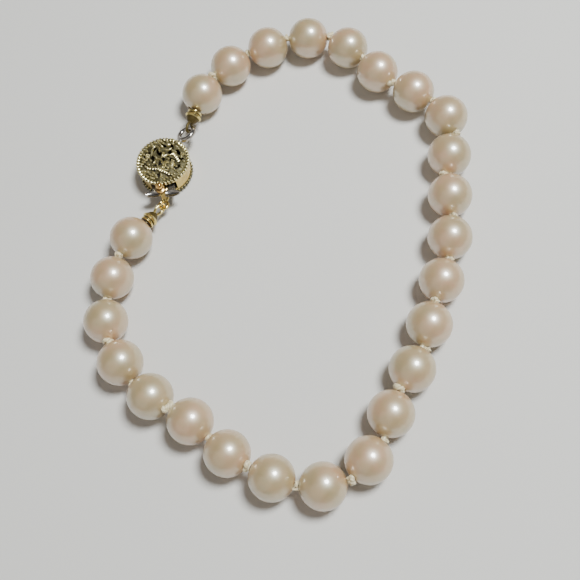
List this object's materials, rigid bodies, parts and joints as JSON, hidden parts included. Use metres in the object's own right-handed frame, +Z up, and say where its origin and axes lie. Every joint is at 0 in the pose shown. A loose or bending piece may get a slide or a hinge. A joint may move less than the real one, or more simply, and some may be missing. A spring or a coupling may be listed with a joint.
{
  "type": "knotted pearl bracelet",
  "caption": "Bracelet of round pearls knotted on silk in one row, laid as an open loop and closed with a pierced oval filigree box clasp, ribbed bead tips and small wire rings.",
  "frame": {"origin": "centre of the loop's outline, at the level of the table that the pearls rest on", "axes": "+Z up from the table, +Y along the loop's long way towards the clasp's end, +X to the right seen from above"},
  "size_m": [0.0638, 0.0774, 0.0062],
  "materials": {
    "pearl": "satin pearl lustre",
    "silk": "twisted cream silk",
    "gold": "polished gold",
    "antique_gold": "gilt filigree, dark in its recesses",
    "silver": "worn polished silver"
  },
  "bodies": {
    "root": {"pearl_01": "pearl", "pearl_02": "pearl", "pearl_03": "pearl", "pearl_04": "pearl", "pearl_05": "pearl", "pearl_06": "pearl", "pearl_07": "pearl", "pearl_08": "pearl", "pearl_09": "pearl", "pearl_10": "pearl", "pearl_11": "pearl", "pearl_12": "pearl", "pearl_13": "pearl", "pearl_14": "pearl", "pearl_15": "pearl", "pearl_16": "pearl", "pearl_17": "pearl", "pearl_18": "pearl", "pearl_19": "pearl", "pearl_20": "pearl", "pearl_21": "pearl", "pearl_22": "pearl", "pearl_23": "pearl", "pearl_24": "pearl", "pearl_25": "pearl", "silk_thread": "silk", "bead_tip_a": "gold", "bead_tip_b": "gold", "clasp_box": "antique_gold", "clasp_tongue": "silver"}
  },
  "joints": []
}
